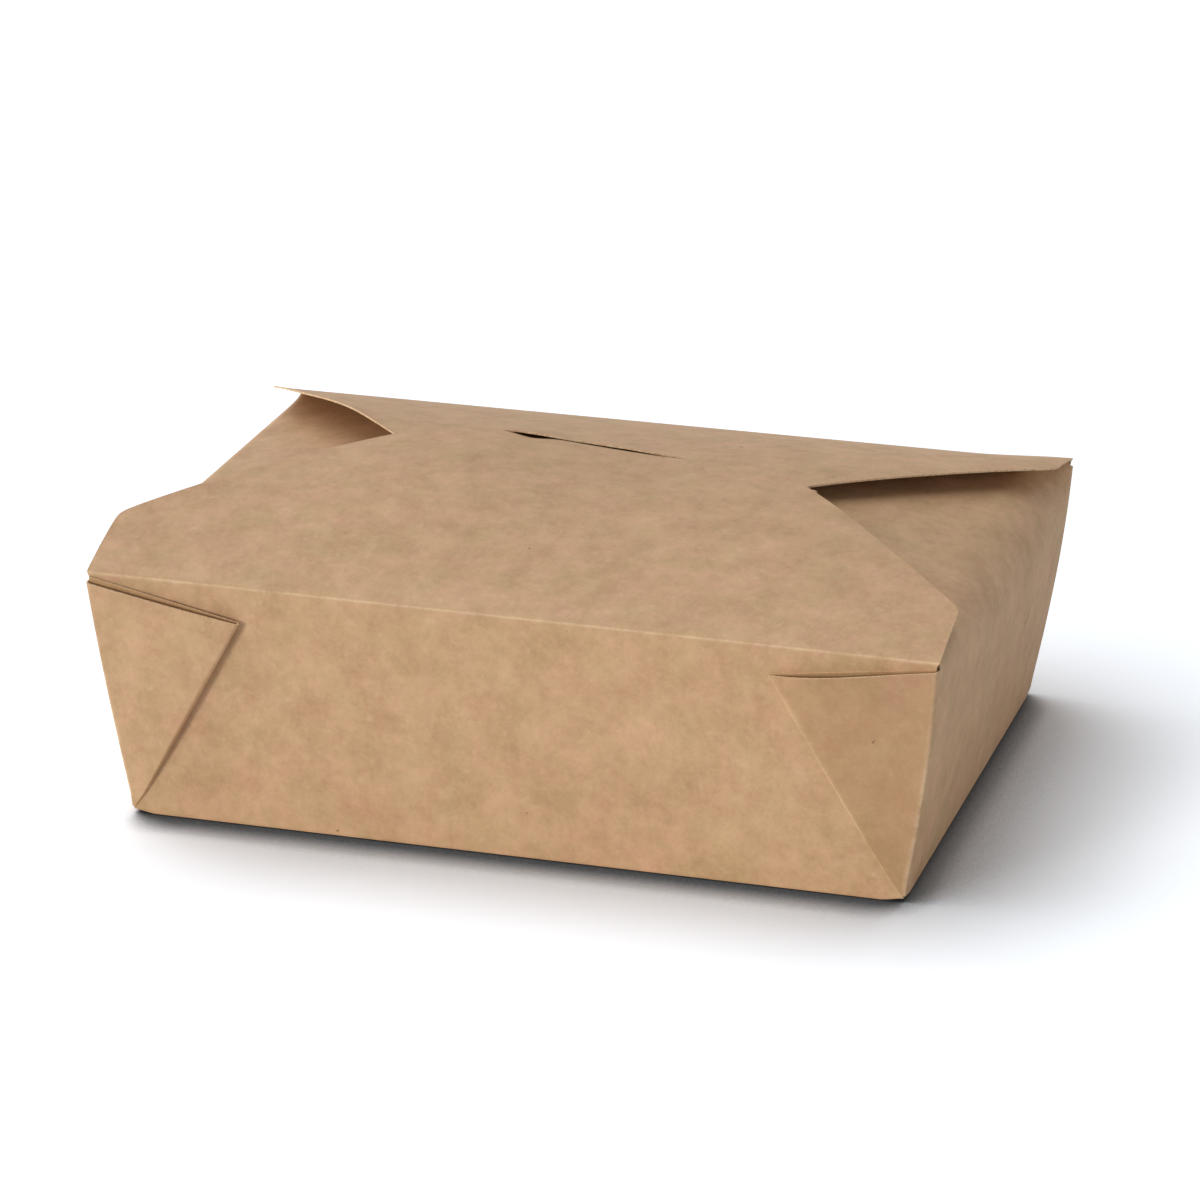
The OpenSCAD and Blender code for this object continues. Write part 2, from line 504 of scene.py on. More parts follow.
def add_node(
    tree: bpy.types.NodeTree, kind: str, inputs: Mapping[Any, Any] | None = None, **settings: Any
) -> Any:
    """Adds a node, with its settings and with each input set to a value or linked to a socket.

    Args:
        tree: Node tree that gets the node.
        kind: Type of the node.
        inputs: Values or output sockets by the input's name or number.
        **settings: The node's own properties.

    Returns:
        The node.
    """
    node = tree.nodes.new(kind)
    for key, value in settings.items():
        setattr(node, key, value)
    for key, value in (inputs or {}).items():
        if isinstance(value, bpy.types.NodeSocket):
            tree.links.new(value, node.inputs[key])
        else:
            node.inputs[key].default_value = value
    return node


def empty_material(name: str) -> bpy.types.Material:
    """Makes a material whose node tree is still empty.

    Args:
        name: Name of the material.

    Returns:
        The material.
    """
    material = bpy.data.materials.new(name)
    material.use_nodes = True
    material.node_tree.nodes.clear()
    return material


def linear(colour: str) -> Colour:
    """Turns an sRGB hex colour into the linear colour that shaders take.

    Args:
        colour: Six hex digits after a hash sign.

    Returns:
        Red, green, blue and an alpha of 1.
    """
    parts = [int(colour[i : i + 2], 16) / 255 for i in (1, 3, 5)]
    red, green, blue = (c / 12.92 if c <= 0.04045 else ((c + 0.055) / 1.055) ** 2.4 for c in parts)
    return red, green, blue, 1.0


@dataclass(frozen=True)
class Pattern:
    """A noise pattern in the board, which shows where the noise is above a level.

    Attributes:
        mark_mm: Distance between its marks.
        low: Level of the noise at which a mark starts to show.
        high: Level at which it shows fully.
        most: Share of the mark's colour there.
        detail: Number of finer noises added to the first.
        roughness: Weight of each of them against the one before.
        shift: Shift along X, in metres, for a pattern that does not follow another one.
    """

    mark_mm: float
    low: float
    high: float
    most: float = 1.0
    detail: float = 2.0
    roughness: float = 0.5
    shift: float = 0.0

    def noise(self, tree: bpy.types.NodeTree) -> Any:
        """Adds the bare noise, on the piece's own coordinates.

        Args:
            tree: Node tree of the material.

        Returns:
            The socket of the noise.
        """
        place = add_node(tree, "ShaderNodeTexCoord").outputs["Object"]
        moved = add_node(tree, "ShaderNodeMapping", {"Vector": place, "Location": (self.shift, 0, 0)})
        inputs = {
            "Vector": moved.outputs[0],
            "Scale": 1.0 / (self.mark_mm * MM),
            "Detail": self.detail,
            "Roughness": self.roughness,
        }
        return add_node(tree, "ShaderNodeTexNoise", inputs).outputs["Fac"]

    def share(self, tree: bpy.types.NodeTree) -> Any:
        """Adds the share of the marks' colour, which rises with the noise from low to high.

        Args:
            tree: Node tree of the material.

        Returns:
            The socket of the share.
        """
        inputs = {"Value": self.noise(tree), "From Min": self.low, "From Max": self.high, "To Max": self.most}
        return add_node(tree, "ShaderNodeMapRange", inputs).outputs[0]


@dataclass(frozen=True)
class KraftBoard:
    """Unbleached kraft board, calendered smooth: matte brown with cloudy fibre and a few shives.

    Its fibres are about 3 mm long and 0.03 mm wide, too fine to show one by one. So they are drawn
    coarser, as the clouds that they gather into and as pale specks. Shives are dark splinters.
    """

    name: str = "kraft_board_face"
    deep: str = "#A67E58"
    light: str = "#E2BA94"
    rosy: str = "#CE9E7E"
    olive: str = "#BDA472"
    pale: str = "#DDBF9A"
    dark: str = "#6A4526"
    # Pale colour of rubbed folds, which on the right web's roll is partly a painted highlight
    rubbed_and_highlight: str = "#E6C8A2"
    # Dark colour: painted shade on the left web's roll, and a darker tone on the right front web's face
    shade_and_dark_tone: str = "#9A6F45"
    tone: Pattern = Pattern(11.0, 0.3, 0.7, detail=5.0, roughness=0.82)
    hue: Pattern = Pattern(11.0, 0.3, 0.7, detail=4.0, roughness=0.8, shift=1.7)
    speck: Pattern = Pattern(2.6, 0.62, 0.78, 0.3, shift=4.1)
    shive: Pattern = Pattern(3.4, 0.79, 0.81, 0.7, shift=6.3)
    lightening: Pattern = Pattern(11.0, 0.3, 0.6, detail=5.0, roughness=0.82)
    hue_share: float = 0.5
    relief: float = 0.3
    relief_mm: float = 0.06
    roughness: float = 0.62
    specular: float = 0.48

    def material(self) -> bpy.types.Material:
        """The face of the board: clouds of tone and of hue, pale specks and a few dark shives.

        The clouds have fine detail nearly as strong as their coarse shapes, as pressed pulp has.
        Where the piece's wear is above 0 the board is rubbed pale, partly a painted highlight on the right
        web's roll. Below 0 it is darkened: painted shade on the left web's roll and a darker tone on the
        right front web.

        Returns:
            The material.
        """
        material = empty_material(self.name)
        tree = material.node_tree
        clouds = []
        for pattern, low, high in ((self.tone, self.deep, self.light), (self.hue, self.rosy, self.olive)):
            inputs = {"Factor": pattern.share(tree), 6: linear(low), 7: linear(high)}
            clouds.append(add_node(tree, "ShaderNodeMix", inputs, data_type="RGBA").outputs[2])
        # The wear attribute makes the board pale above 0, partly a painted highlight, and dark below 0, which
        # is painted shade on the left web's roll
        wear_and_painted_light = add_node(tree, "ShaderNodeAttribute", attribute_name=WEAR_AND_PAINTED_LIGHT).outputs["Fac"]
        lightening = add_node(tree, "ShaderNodeMath", {0: wear_and_painted_light, 1: self.lightening.share(tree)}, operation="MULTIPLY")
        dark_share = add_node(tree, "ShaderNodeMapRange", {"Value": wear_and_painted_light, "From Min": 0.0, "From Max": -1.0})
        colour = clouds[0]
        for share, over in (
            (self.hue_share, clouds[1]),
            (self.speck.share(tree), linear(self.pale)),
            (self.shive.share(tree), linear(self.dark)),
            (lightening.outputs[0], linear(self.rubbed_and_highlight)),
            (dark_share.outputs[0], linear(self.shade_and_dark_tone)),
        ):
            inputs = {"Factor": share, 6: colour, 7: over}
            colour = add_node(tree, "ShaderNodeMix", inputs, data_type="RGBA").outputs[2]
        bump = add_node(
            tree,
            "ShaderNodeBump",
            {"Strength": self.relief, "Distance": self.relief_mm * MM, "Height": self.tone.noise(tree)},
        )
        shader = add_node(
            tree,
            "ShaderNodeBsdfPrincipled",
            {
                "Base Color": colour,
                "Roughness": self.roughness,
                "Specular IOR Level": self.specular,
                "Normal": bump.outputs["Normal"],
            },
        )
        add_node(tree, "ShaderNodeOutputMaterial", {"Surface": shader.outputs[0]})
        return material


@dataclass(frozen=True)
class CutEdge:
    """Die-cut edge of kraft board: torn pale fibre, rougher and lighter than the pressed face.

    The fibres are far thinner than the board, too fine to show, so the strands are drawn coarser.
    """

    fibre: str = "#E2C6A2"
    gap: str = "#C9A37A"
    strand: Pattern = Pattern(0.8, 0.35, 0.6, detail=3.0)
    roughness: float = 0.85
    specular: float = 0.3

    def material(self) -> bpy.types.Material:
        """The cut edge, with strands of darker and paler fibre along it.

        Returns:
            The material.
        """
        material = empty_material("kraft_board_cut_edge")
        tree = material.node_tree
        inputs = {"Factor": self.strand.share(tree), 6: linear(self.gap), 7: linear(self.fibre)}
        colour = add_node(tree, "ShaderNodeMix", inputs, data_type="RGBA").outputs[2]
        shader = add_node(
            tree,
            "ShaderNodeBsdfPrincipled",
            {"Base Color": colour, "Roughness": self.roughness, "Specular IOR Level": self.specular},
        )
        add_node(tree, "ShaderNodeOutputMaterial", {"Surface": shader.outputs[0]})
        return material


@dataclass(frozen=True)
class Finishes:
    """The three materials that every piece of board wears, in the order of Layer."""

    face: bpy.types.Material
    inside: bpy.types.Material
    cut: bpy.types.Material


@dataclass
class BoardPart:
    """A sub-assembly made of pieces of board.

    Attributes:
        pieces: The objects that it has built.
    """

    pieces: list[bpy.types.Object] = field(default_factory=list, init=False)

    def dress(self, finishes: Finishes) -> None:
        """Gives each piece the board's face, inside and cut edge.

        Args:
            finishes: The board's materials.
        """
        for piece in self.pieces:
            for material in (finishes.face, finishes.inside, finishes.cut):
                piece.data.materials.append(material)


@dataclass
class LongStrip(BoardPart):
    """Front wall, base, back wall and back flap, which are one strip of board with a slit.

    Attributes:
        sizes: Sizes of the carton.
        roof: Curve that the back flap lies on.
        back_ear: Length of the straight ear beside the back crease.
        ear_round: Rounding where the ear turns into the slanted edge.
        tip_w: Width of the flap's far edge.
        spring: Slope at which the flap leaves its crease.
        slit_front: Place of the slit's front edge across the carton.
        slit_back: Place of the slit's back lip.
        slit_l: Length of the slit.
        lip: Places along the slit, each with the lift of its back lip.
        lip_fade: Distance over which that lift fades behind the slit.
        crease_worn: Width of the rubbed band on the back crease, in rows.
        wall_points: Rows up a wall.
        bend_points: Rows round a bend.
        floor_points: Rows across the base.
        flap_steps: Steps along the ear, behind the slit, over the slit and in front of it.
        across_steps: Steps across the flap, left of the slit, along it and right of it.
    """

    sizes: CartonSizes
    roof: RoofLayer
    back_ear: float = 21.0
    ear_round: float = 0.5
    tip_w: float = 76.0
    spring: float = 0.33
    slit_front: float = 12.6
    slit_back: float = 14.05
    slit_l: float = 61.0
    lip: Pairs = (
        (-30.5, 0.0), (-28.5, 0.5), (-25.0, 0.95), (-20.0, 1.05), (-11.0, 1.0), (-5.6, 1.15),
        (5.0, 1.3), (12.0, 1.05), (18.0, 0.55), (24.0, 0.1), (30.5, 0.0),
    )
    lip_fade: float = 9.0
    crease_worn: float = 1.2
    wall_points: int = 26
    bend_points: int = 9
    floor_points: int = 13
    flap_steps: tuple[int, ...] = (12, 24, 1, 14)
    across_steps: tuple[int, ...] = (40, 44, 40)

    def flap_half(self, y: Array) -> Array:
        """Half the back flap's width: straight along the ear, then tapering to the far edge.

        Args:
            y: Distances across the carton.

        Returns:
            The half widths.
        """
        s = self.sizes
        ear_end = s.crease_y - self.back_ear
        slant = (s.top_l - self.tip_w) / 2 / (ear_end + s.flap_past)
        return s.top_l / 2 - slant * soft_ramp(ear_end - y, self.ear_round)

    def flap_height(self, x: Array, y: Array) -> Array:
        """Height of the back flap's middle surface.

        Under the front flap it is the roof's. Behind the slit the flap leaves its crease at one
        slope and then sags with the square of the way from the crease, by as much as takes it
        to the roof's height at the slit or at its slanted edge.

        Args:
            x: Distances along the carton.
            y: Distances across it.

        Returns:
            The heights.
        """
        s = self.sizes
        ear_end = s.crease_y - self.back_ear
        slant = (ear_end + s.flap_past) / (s.top_l / 2 - self.tip_w / 2)
        held_y = np.clip(ear_end - (s.top_l / 2 - np.abs(x)) * slant, self.slit_back, ear_end)
        held = s.crease_y - held_y
        sag = (self.spring * held - (self.roof.height(x, held_y) - s.crease_z)) / held**2
        run = s.crease_y - y
        behind = s.crease_z + self.spring * run - sag * run**2
        return np.where(y > self.slit_back - SAME_ROW, behind, self.roof.height(x, y))

    def tray_path(self) -> tuple[Array, Array]:
        """Section of the tray from under the front crease, round the base, to the back crease.

        Straight runs are joined by quadratic bends: one at each side of the base, and one that
        takes the back wall over into the back flap.

        Returns:
            Points in Y and Z, and half the strip's length at each.
        """
        s = self.sizes
        foot = np.array([s.base_y, s.base_z])
        crease = np.array([s.crease_y, s.crease_z])
        rise = (crease - foot) / s.long_slope
        tangent = s.base_fold_r * math.tan((math.pi / 2 - s.long_lean) / 2)
        share = np.linspace(0, 1, self.bend_points)[:, None]
        slope = np.linspace(tangent, s.long_slope - s.crease_reach, self.wall_points)
        wall = foot + slope[:, None] * rise
        bend = quadratic(foot - [tangent, 0], foot, foot + tangent * rise, share)
        floor_y = np.linspace(-1, 1, self.floor_points) * (s.base_y - tangent)
        floor = np.stack([floor_y, np.full_like(floor_y, s.base_z)], axis=-1)
        start = crease - s.crease_reach * rise
        y_end = s.crease_y - s.crease_reach
        end = np.array([y_end, float(self.flap_height(np.float64(0), np.float64(y_end)))])
        over = quadratic(start, crease, end, share)
        mirror = np.array([-1.0, 1.0])
        path = np.concatenate(
            [wall[::-1] * mirror, bend[-2::-1] * mirror, floor[1:-1], bend[:-1], wall, over[1:-1]]
        )
        low = np.full(len(bend) - 1, float(s.wall_half(0.0)))
        walls = s.wall_half(slope)
        top = s.wall_half(s.long_slope) + (s.top_l / 2 - s.wall_half(s.long_slope)) * share[1:-1, 0]
        half = np.concatenate([walls[::-1], low, np.full(len(floor) - 2, low[0]), low, walls, top])
        return path, half

    def middle(self) -> BoardGrid:
        """The strip's middle surface.

        Rows run along the section and columns across it, X being a share of the strip's half
        width. On the flap Z is the flap's height plus the lift of the slit's back lip. The slit
        is a gap of one row of cells.

        Returns:
            The grid.
        """
        s = self.sizes
        path, half = self.tray_path()
        ear = (s.crease_y - s.crease_reach, s.crease_y - self.back_ear)
        flap_y = spans((*ear, self.slit_back, self.slit_front, -s.flap_past), self.flap_steps)
        slit_half = self.slit_l / 2
        slit_share = slit_half / float(self.flap_half(self.slit_back))
        u = spans((-1.0, -slit_share, slit_share, 1.0), self.across_steps)
        y = np.concatenate([path[:, 0], flap_y])[:, None]
        x = u * np.concatenate([half, self.flap_half(flap_y)])[:, None]
        y = np.broadcast_to(y, x.shape).copy()
        z = np.broadcast_to(np.concatenate([path[:, 1], flap_y])[:, None], x.shape).copy()
        flap = np.arange(len(x)) >= len(path)
        z[flap] = self.flap_height(x[flap], y[flap])
        behind = flap & (y[:, 0] > self.slit_front + SAME_ROW)
        lip_x, lip_z = np.array(self.lip).T
        lip = np.interp(x, lip_x, lip_z, 0.0, 0.0) * np.exp(-(y - self.slit_back) / self.lip_fade)
        z += np.where(behind[:, None], lip, 0.0)
        cells = np.ones((len(x) - 1, x.shape[1] - 1), bool)
        slit_row = len(path) + int(np.argmin(np.abs(flap_y - self.slit_back)))
        middle_x = (x[slit_row, 1:] + x[slit_row, :-1]) / 2
        cells[slit_row] = np.abs(middle_x) > slit_half
        crease_row = len(path) - (self.bend_points - 1) // 2
        wear_and_painted_light = bell(np.arange(len(x)), crease_row, self.crease_worn)[:, None] * np.ones_like(x)
        return BoardGrid(s.settle(np.stack([x, y, z], axis=-1)), cells, wear_and_painted_light, flip=True)

    def build(self) -> None:
        """Makes the strip's mesh on the carton's body."""
        piece = board_object("tray_and_back_flap", self.middle(), self.sizes.board)
        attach(piece, Body.CARTON.value)
        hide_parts("carton")
        self.pieces.append(piece)


@dataclass(frozen=True)
class WebFit:
    """How one corner web lies on its wall, as distances at its top, in millimetres.

    Attributes:
        inner_drop: Drop of the inner layer's edge below the crease, at the corner.
        outer_drop: Drop of the outer layer's edge below the crease, at the corner.
        tip_drop: Drop of the tip below the crease.
        tip_in: Distance of the tip from the corner, along the wall.
        inner_out: Stand of the inner layer off the wall's middle, at the tip.
        inner_share: Share of that stand that the inner layer has at the corner.
        corner_out: Stand of the outer layer off the wall's middle, at the corner.
        tip_out: The same at the tip.
        bow: How far the outer layer's edge bows out between corner and tip.
        bow_power: Power of the way to the tip in that bow, above 1 to bow nearer the tip.
    """

    inner_drop: float = 1.2
    outer_drop: float = 2.0
    tip_drop: float = 7.4
    tip_in: float = 40.0
    inner_out: float = 0.85
    inner_share: float = 0.45
    corner_out: float = 1.8
    tip_out: float = 1.8
    bow: float = 0.3
    bow_power: int = 1


@dataclass(frozen=True)
class SheetWearAndPaintedLight:
    """Wear and painted light on a side sheet's folds, in columns of its grid counted from the nearer web's
    end.

    Attributes:
        seam_past: Columns from a web's outer layer to the rubbed corner.
        seam_w: Width of the rubbed corner.
        seam_fade: Shares of the height between which the corner's wear fades.
        roll_at: Column of a web's rolled fold.
        roll_w: Width of the band on the roll, which is wear and painted light.
        roll_fade: Shares of the height between which the roll's band fades.
        fade: Share of the corner's wear and of the roll's band that is gone at the top.
        face_from: Columns over which the front web's darker tone starts.
        face_past: Columns from the corner's bend over which it ends.
    """

    seam_past: float = 3.0
    seam_w: float = 1.3
    seam_fade: tuple[float, float] = (0.3, 0.95)
    roll_at: float = 14.5
    roll_w: float = 1.8
    roll_fade: tuple[float, float] = (0.3, 0.85)
    fade: float = 0.85
    face_from: tuple[float, float] = (16.0, 19.0)
    face_past: tuple[float, float] = (2.0, -1.0)


@dataclass
class SideSheet(BoardPart):
    """A side wall with its soft fold, its side flap and the two corner webs that flank it.

    Attributes:
        sizes: Sizes of the carton.
        side: End of the carton that it makes.
        front_web: How the front web lies.
        back_web: How the back web lies.
        base_leg: Length of the leg that laps the base.
        leg_inset: How far the leg's end is drawn in at each side.
        corner_r: Radius of the bend from a web into the wall.
        corner_share: Most of a web's reach that this bend may take.
        notch: Gap between a corner and the wall's own columns.
        notch_rate: How fast that gap opens with the share of the height.
        fold_r: Radius of the soft fold into the flap, along most of the wall.
        fold_r_corner: Its radius at the corners.
        fold_front: Share of the soft radius that is left towards the front end.
        fold_full: Place along the wall, from -1 to 1, from which the soft radius is full.
        fold_power: Power of the place at which the radius falls off to the corners.
        fold_zone: Length past the fold that is drawn with close rows.
        reach: Reach of the flap from its fold.
        tip_w: Width of the flap's far edge.
        tip_z: Height of its far edge.
        flap_crown: How far the flap crowns up along its middle.
        crown_at: Share of the reach at which the crown is full.
        crown_fall: Share by which it is lower at the far edge.
        bulge: How far the wall bulges out.
        bulge_power: Power of the height in that bulge, above 1 to bulge higher up.
        roll_wear_and_painted_light: Wear of the webs' rolled folds: above 0 rubbed pale, partly a painted
            highlight, and below 0 painted shade along the fold.
        web_tone: How far the front web's face is darkened.
        fold_marks: Where the folds are worn, and where the rolls' painted light and the front web's darker
            tone lie.
        web_start: Share of the height at which the webs' rows start.
        web_rows: Rows up the webs.
        web_points: Columns along a web's outer layer.
        web_crowd: Power that crowds them at the tip.
        inner_points: Columns along its inner layer.
        roll_points: Columns round its rolled fold, with both ends.
        bend_points: Columns round a corner's bend.
        wall_points: Columns along the wall.
        wall_crowd: Power that crowds them at its ends.
        leg_points: Rows round the foot.
        flap_steps: Steps over the fold and along the flap.
    """

    sizes: CartonSizes
    side: Side
    front_web: WebFit
    back_web: WebFit
    base_leg: float = 6.0
    leg_inset: float = 3.0
    corner_r: float = 1.3
    corner_share: float = 0.4
    notch: float = 2.8
    notch_rate: float = 12.0
    fold_r: float = 4.0
    fold_r_corner: float = 2.0
    fold_front: float = 0.2
    fold_full: float = 0.1
    fold_power: int = 16
    fold_zone: float = 6.0
    reach: float = 54.0
    tip_w: float = 72.0
    tip_z: float = 73.4
    flap_crown: float = 1.0
    crown_at: float = 0.7
    crown_fall: float = 0.5
    bulge: float = 0.0
    bulge_power: float = 1.2
    roll_wear_and_painted_light: float = 0.1
    web_tone: float = 0.0
    fold_marks: SheetWearAndPaintedLight = SheetWearAndPaintedLight()
    web_start: float = 0.015
    web_rows: int = 34
    web_points: int = 19
    web_crowd: float = 1.6
    inner_points: int = 9
    roll_points: int = 9
    bend_points: int = 8
    wall_points: int = 53
    wall_crowd: float = 0.8
    leg_points: int = 9
    flap_steps: tuple[int, ...] = (22, 26)

    def belly(self, z: Array) -> Array:
        """How far the wall bulges out: 4 b q (1 - q), where q is a power of the share of the height.

        Args:
            z: Heights.

        Returns:
            The distances.
        """
        s = self.sizes
        share = np.clip((z - s.base_z) / (s.crease_z - s.base_z), 0, 1) ** self.bulge_power
        return 4 * self.bulge * share * (1 - share)

    def profile(self, length: Array, radius: Array) -> tuple[Array, Array]:
        """Section of the right wall and its flap: straight wall, round fold, straight flap.

        Lengths are measured along the board from the foot, so a softer fold pushes the flap
        further in, as one sheet does.

        Args:
            length: Distances along the board from the foot.
            radius: Radius of the fold, for each.

        Returns:
            X and Z of the points.
        """
        s = self.sizes
        foot = np.array([s.base_x, s.base_z])
        fold = np.array([s.crease_x, s.crease_z])
        tip = np.array([s.crease_x - self.reach, self.tip_z])
        up = (fold - foot) / s.side_slope
        over = (tip - fold) / np.linalg.norm(tip - fold)
        turn = math.acos(float(up @ over))
        inward = np.array([-up[1], up[0]])
        cut = radius * math.tan(turn / 2)
        past = length - (s.side_slope - cut)
        angle = np.clip(past / radius, 0, turn)
        on_wall = np.minimum(length, s.side_slope - cut)
        on_flap = np.maximum(past - radius * turn, 0)
        bend_in = radius * (1 - np.cos(angle))
        bend_up = radius * np.sin(angle)
        x = foot[0] + on_wall * up[0] + bend_up * up[0] + bend_in * inward[0] + on_flap * over[0]
        z = foot[1] + on_wall * up[1] + bend_up * up[1] + bend_in * inward[1] + on_flap * over[1]
        return x + self.belly(z), z

    def web(self, fit: WebFit, share: Array) -> tuple[Array, Array, Array]:
        """One front web on the right side: its two layers and the rolled fold between them.

        Row h is a copy of the web's top edge scaled by h from the foot of the corner. Along a
        row the outer layer is a straight line from the corner to the diagonal plus a bow that
        grows with h^3, the roll is a half circle in the plane across the diagonal, and the inner
        layer runs back. The fold stands off the wall by 1 - (1 - h)^3 of its stand at the top.

        Args:
            fit: How the web lies.
            share: The rows' shares h of the height, as a column.

        Returns:
            Points from the inner layer's end to the corner's bend, the points at which the bend
            starts, and the corner's points.
        """
        s = self.sizes
        corner_s = share * (s.long_slope - fit.outer_drop)
        corner_out = share * fit.corner_out
        height = corner_s * math.cos(s.long_lean) - corner_out * math.sin(s.long_lean)
        corner_x = s.base_x + height * math.tan(s.side_lean) + self.belly(height + s.base_z)
        tip_s = share * (s.long_slope - fit.tip_drop)
        tip_x = s.base_x + share * (s.crease_x - fit.tip_in - s.base_x)
        inner_s = share * (s.long_slope - fit.inner_drop)
        stand = 1 - (1 - share) ** 3

        reach = np.hypot(tip_x - corner_x, tip_s - corner_s)
        bend = np.minimum(self.corner_r, self.corner_share * reach) / reach
        q = 1 - (1 - bend) * np.linspace(0, 1, self.web_points)[None, :] ** self.web_crowd
        peak = q**fit.bow_power * (1 - q)
        peak = peak / peak.max()
        out = corner_out * (1 - q) + stand * fit.tip_out * q + fit.bow * share**3 * peak
        outer = s.on_front_wall(corner_x + (tip_x - corner_x) * q, corner_s + (tip_s - corner_s) * q, out)

        q_in = np.linspace(0, 1, self.inner_points)[None, :]
        inner_x = corner_x - s.board + (tip_x - corner_x + s.board) * q_in
        inner_out = fit.inner_out * (fit.inner_share * share * (1 - q_in) + stand * q_in)
        inner = s.on_front_wall(inner_x, inner_s + (tip_s - inner_s) * q_in, inner_out)

        turn = np.linspace(0, math.pi, self.roll_points)[None, 1:-1]
        gap = stand * (fit.tip_out - fit.inner_out) / 2
        level = stand * (fit.tip_out + fit.inner_out) / 2
        ahead = gap * np.sin(turn)
        roll = s.on_front_wall(
            tip_x + ahead * (tip_x - corner_x) / reach,
            tip_s + ahead * (tip_s - corner_s) / reach,
            level - gap * np.cos(turn),
        )
        corner = s.on_front_wall(corner_x, corner_s, corner_out)
        return np.concatenate([inner, roll, outer[:, :-1]], axis=1), outer[:, -1:], corner

    def bend_at(self, first: Array, corner: Array, inward: float) -> Array:
        """Round bend from a web's outer layer into the side wall, in place of the corner.

        Args:
            first: Points of the web's outer layer at which the bend starts.
            corner: Points of the corner.
            inward: Sign of Y from the corner into the wall.

        Returns:
            Points of the bend, from the web to the wall.
        """
        radius = np.linalg.norm(first - corner, axis=-1, keepdims=True)
        last = corner + np.array([0.0, inward, 0.0]) * radius
        return quadratic(first, corner, last, np.linspace(0, 1, self.bend_points)[None, :, None])

    def fold_wear_and_painted_light(self, height: Array, bend_column: int) -> Array:
        """Wear and painted light on the sheet's folds: bell curves over its columns, fading up its height.

        Args:
            height: Share of the height at each point of the grid.
            bend_column: Column at which the front corner's bend starts.

        Returns:
            The wear and painted light at each point.
        """
        w = self.fold_marks
        columns = height.shape[1]
        column = np.arange(columns)
        nearer = np.minimum(column, columns - 1 - column)
        seam = bell(nearer, bend_column + w.seam_past, w.seam_w)
        roll = bell(nearer, w.roll_at, w.roll_w)
        face = smooth_step(*w.face_from, column)
        face = face * smooth_step(*(bend_column + np.array(w.face_past)), column)
        seam_left = 1 - w.fade * smooth_step(*w.seam_fade, height)
        roll_left = 1 - w.fade * smooth_step(*w.roll_fade, height)
        # Above 0 the roll is rubbed pale, partly a painted highlight; below 0 it gets painted shade along the
        # fold
        return np.clip(seam * seam_left + self.roll_wear_and_painted_light * roll * roll_left - self.web_tone * face, -1, 1)

    def wall_and_flap(self, front_corner: Array, share: Array) -> tuple[Array, int]:
        """Points of the wall with its leg on the base, its fold and its flap.

        Columns are places t from -1 to 1 along the wall, and rows run up the board. The fold's
        radius falls off with a high power of t to the corners, and is tighter to the front.

        Args:
            front_corner: Points of the front corner, from the foot to the top.
            share: The webs' shares of the height, as a column.

        Returns:
            The points, and the number of rows below the webs.
        """
        s = self.sizes
        t = np.linspace(-1, 1, self.wall_points)
        t = np.sign(t) * np.abs(t) ** self.wall_crowd
        soft = self.fold_front + (1 - self.fold_front) * smooth_step(-1.0, self.fold_full, t)
        radius = self.fold_r_corner + (self.fold_r - self.fold_r_corner) * (1 - t**self.fold_power) * soft
        wall_length = (front_corner[..., 2] - s.base_z) / math.cos(s.side_lean)
        root = np.abs(front_corner[-1, 0, 1]) - self.notch
        wall_half = np.abs(front_corner[..., 1]) - self.notch * np.minimum(1, self.notch_rate * share)
        top = float(wall_length[-1, 0])
        stops = (top, s.side_slope + self.fold_zone, s.side_slope + self.reach)
        flap_length = spans(stops, self.flap_steps)[1:, None]
        taper = np.clip((flap_length - s.side_slope) / self.reach, 0, 1)
        flap_half = root + (self.tip_w / 2 - root) * taper
        length = np.concatenate([wall_length, flap_length])
        x, z = self.profile(length, np.broadcast_to(radius, (len(length), len(t))))
        half = np.concatenate([wall_half, flap_half])
        along = smooth_step(s.side_slope, s.side_slope + self.reach * self.crown_at, length)
        z = z + self.flap_crown * (1 - t**2) * along * (1 - self.crown_fall * along)
        wall = np.stack([x, t * half, z], axis=-1)

        turn = np.linspace(0, 1, self.leg_points)[:, None, None]
        foot = np.array([s.base_x, 0.0, s.base_z])
        leg = foot - [self.base_leg, 0, 0]
        turn_in = foot - [s.base_fold_r, 0, 0]
        under = quadratic(turn_in, foot, wall[:1] * [1, 0, 1], turn)[:-1]
        under = np.concatenate([np.broadcast_to(leg, (1, len(t), 3)), under])
        inset = np.linspace(self.leg_inset, 0.0, len(under))[:, None]
        under[..., 1] = t * (wall_half[0] - inset)
        return np.concatenate([under, wall]), len(under)

    def middle(self) -> BoardGrid:
        """The sheet's middle surface, drawn on the right and mirrored for the left.

        Columns run from one web's inner layer round its fold, along the wall and into the other
        web. Rows run up the board from the base, and only the wall's columns go on into the
        fold and the flap.

        Returns:
            The grid.
        """
        s = self.sizes
        share = np.linspace(self.web_start, 1, self.web_rows)[:, None]
        front, front_first, front_corner = self.web(self.front_web, share)
        mirror = np.array([1.0, -1.0, 1.0])
        back, back_first, back_corner = (part * mirror for part in self.web(self.back_web, share))
        front_bend = self.bend_at(front_first, front_corner, 1.0)
        back_bend = self.bend_at(back_first, back_corner, -1.0)
        wall, below = self.wall_and_flap(front_corner, share)
        above = len(wall) - below - self.web_rows

        def padded(part: Array) -> Array:
            """Repeats a web's first and last rows over the rows that it does not reach."""
            return np.pad(part, ((below, above), (0, 0), (0, 0)), mode="edge")

